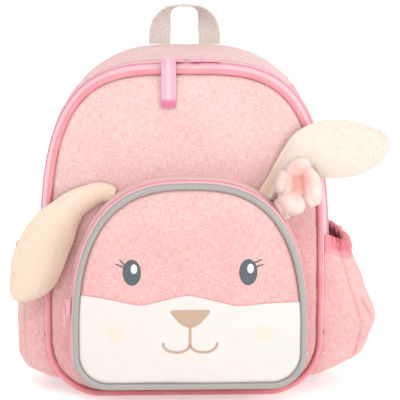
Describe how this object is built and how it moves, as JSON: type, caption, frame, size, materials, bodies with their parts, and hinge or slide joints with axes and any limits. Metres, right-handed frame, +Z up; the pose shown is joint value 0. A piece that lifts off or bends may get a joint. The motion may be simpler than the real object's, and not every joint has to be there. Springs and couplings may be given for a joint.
{
  "type": "kids animal backpack",
  "caption": "Small hollow backpack with a zipped front pocket that shows an animal's face, plush ears, open side pockets, a grab handle and shoulder straps.",
  "frame": {"origin": "middle of the flat base, on the floor", "axes": "+Z up; -Y is the front with the face; +X is to the right of someone who looks at the face"},
  "size_m": [0.3226, 0.1913, 0.3322],
  "materials": {
    "melange": "pink melange plain weave",
    "coral": "smooth coral nylon",
    "zip_tape": "pink zip tape",
    "zip_plastic": "moulded pink plastic",
    "ribbon": "ribbed orchid pink ribbon",
    "reflective": "grey reflective piping",
    "muzzle": "cream print",
    "eye": "slate grey print",
    "glint": "white print",
    "tan": "tan print",
    "cheek": "pale peach print",
    "plush": "short peach plush",
    "lining": "short cream plush",
    "petal": "short blush plush",
    "webbing": "woven cream webbing",
    "buckle": "plain moulded plastic"
  },
  "bodies": {
    "root": {"front_panel": "melange", "front_piping": "coral", "main_zip_tape": "zip_tape", "main_zip_teeth": "zip_plastic", "top_gusset": "melange", "corner_gore_right": "coral", "side_gusset_right": "melange", "corner_gore_left": "coral", "side_gusset_left": "melange", "base_panel": "melange", "back_panel": "melange", "main_slider_left": "zip_plastic", "main_slider_right": "zip_plastic", "main_pull_tab": "zip_plastic", "ribbon_pull": "ribbon", "reflective_piping": "reflective", "pocket_zip_tape": "zip_tape", "pocket_zip_teeth": "zip_plastic", "pocket_gusset": "melange", "pocket_base": "melange", "face_panel": "melange", "muzzle_panel": "muzzle", "pocket_slider": "zip_plastic", "pocket_pull": "zip_plastic", "eye_left": "eye", "eye_glint_left": "glint", "cheek_left": "cheek", "eye_right": "eye", "eye_glint_right": "glint", "cheek_right": "cheek", "nose": "tan", "mouth": "tan", "ear_left": "plush", "ear_left_lining": "lining", "ear_right": "plush", "ear_right_lining": "lining", "ear_flower": "petal", "grab_handle": "webbing", "side_pocket_right": "melange", "pocket_band_right": "coral", "side_pocket_left": "melange", "pocket_band_left": "coral", "strap_pad_left": "melange", "strap_webbing_left": "webbing", "strap_adjuster_left": "buckle", "strap_pad_right": "melange", "strap_webbing_right": "webbing", "strap_adjuster_right": "buckle"}
  },
  "joints": []
}
